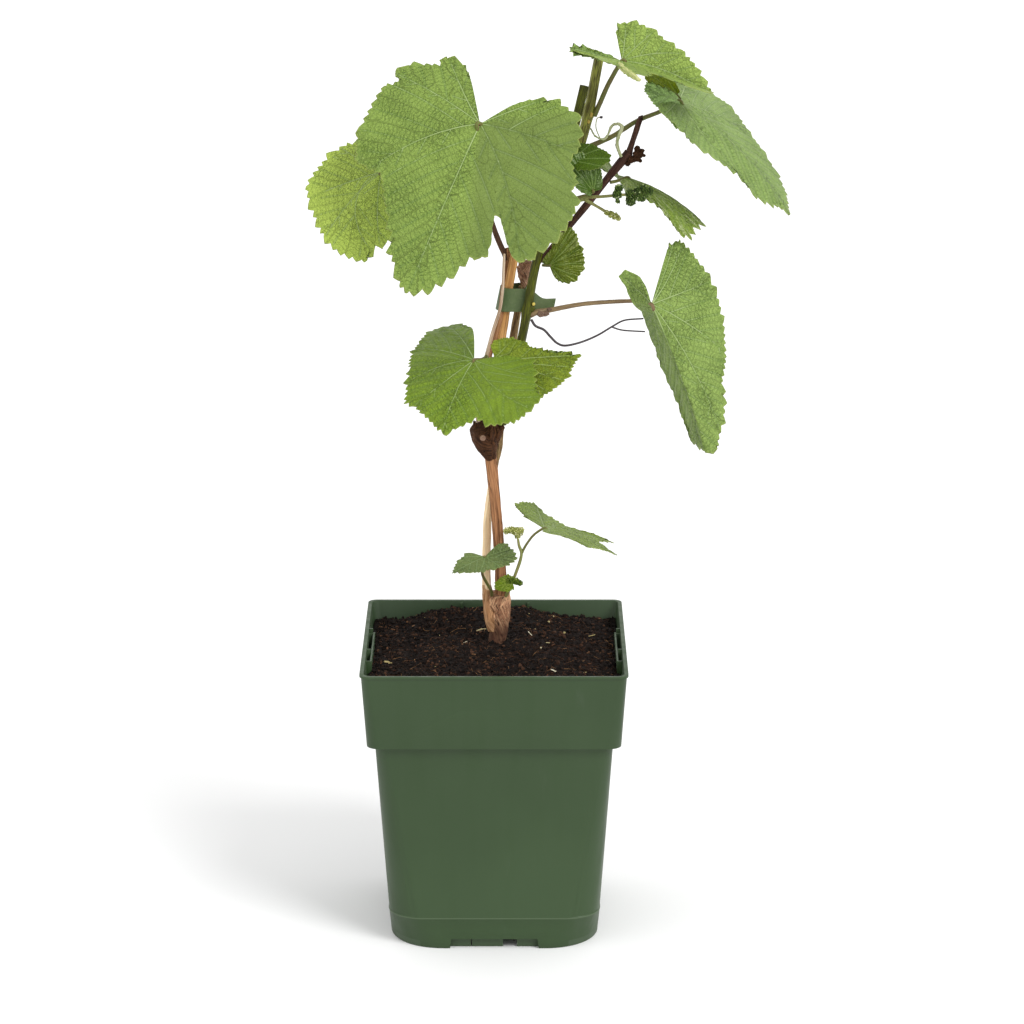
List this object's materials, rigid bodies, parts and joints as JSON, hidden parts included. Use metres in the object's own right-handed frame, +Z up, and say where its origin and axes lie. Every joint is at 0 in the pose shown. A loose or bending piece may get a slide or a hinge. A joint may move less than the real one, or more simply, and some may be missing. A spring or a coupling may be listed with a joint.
{
  "type": "potted grapevine",
  "caption": "Young grapevine whose canes are tied together over a square green nursery pot of soil, with broad toothed lobed leaves and a curling tendril.",
  "frame": {"origin": "centre of the flat foot under the pot, on the ground", "axes": "+Z up along the plant, front towards -Y, +X to the right as seen from the front"},
  "size_m": [0.277, 0.1635, 0.5279],
  "materials": {
    "pot_plastic": "satin",
    "soil": "loose potting mix",
    "bark": "rough bark",
    "knot_bark": "rough dark bark",
    "pale_bark": "smooth peeling bark",
    "green_shoot": "smooth green bark",
    "tape": "satin",
    "leaf": "matt, veined",
    "young_leaf": "glossy, veined",
    "buds": "matt",
    "tendril": "smooth",
    "pale_tendril": "smooth"
  },
  "bodies": {
    "root": {"pot": "pot_plastic", "soil": "soil", "trunk": "bark", "pale_stem": "pale_bark", "brown_stem": "bark", "lower_knot": "knot_bark", "cane_a": "pale_bark", "cane_b": "bark", "cane_c": "pale_bark", "main_shoot": "green_shoot", "second_shoot": "green_shoot", "upper_knot": "knot_bark", "spur_cane": "bark", "tie": "tape", "leaf_big": "leaf", "leaf_left": "leaf", "leaf_middle": "leaf", "leaf_pendant": "leaf", "leaf_top": "leaf", "leaf_long": "leaf", "leaf_folded": "leaf", "leaf_pleated": "young_leaf", "leaf_glossy": "young_leaf", "leaf_base_left": "leaf", "leaf_base_right": "leaf", "base_shoot": "leaf", "flower_cluster": "buds", "tendril": "tendril", "curled_tendril": "pale_tendril"}
  },
  "joints": []
}
